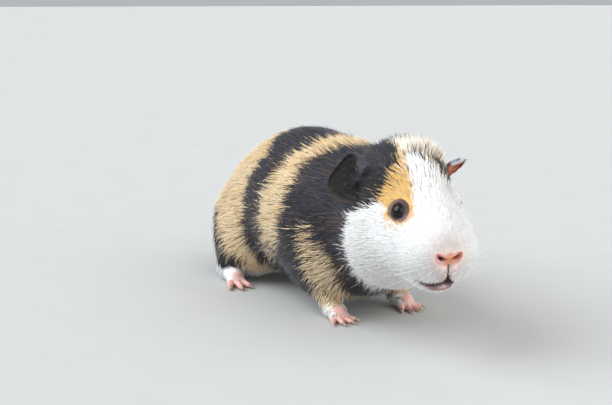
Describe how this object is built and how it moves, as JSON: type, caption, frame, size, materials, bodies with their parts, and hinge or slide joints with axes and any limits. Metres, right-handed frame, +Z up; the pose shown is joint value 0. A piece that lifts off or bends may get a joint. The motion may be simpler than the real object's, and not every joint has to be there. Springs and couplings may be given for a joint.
{
  "type": "guinea pig",
  "caption": "Life-size still guinea pig, standing low on all four feet with its head turned slightly to its right, for display.",
  "frame": {"origin": "middle of the bounding box, on the floor that the soles stand on", "axes": "the animal faces -Y, +X is its left side, +Z is up"},
  "size_m": [0.0948, 0.242, 0.1048],
  "materials": {
    "coat_head": "short white fur with gold and black patches",
    "coat_body": "sleek fur banded black and tan",
    "foot_skin": "bare pink skin with pale claws",
    "ear_skin": "bare dark brown skin, pinker inside",
    "eye": "wet dark brown"
  },
  "bodies": {
    "root": {"head": "coat_head", "neck": "coat_body", "trunk": "coat_body", "foreleg_right": "coat_body", "hindleg_right": "coat_body", "forefoot_right": "foot_skin", "hindfoot_right": "foot_skin", "ear_right": "ear_skin", "eye_right": "eye", "foreleg_left": "coat_body", "hindleg_left": "coat_body", "forefoot_left": "foot_skin", "hindfoot_left": "foot_skin", "ear_left": "ear_skin", "eye_left": "eye"}
  },
  "joints": []
}
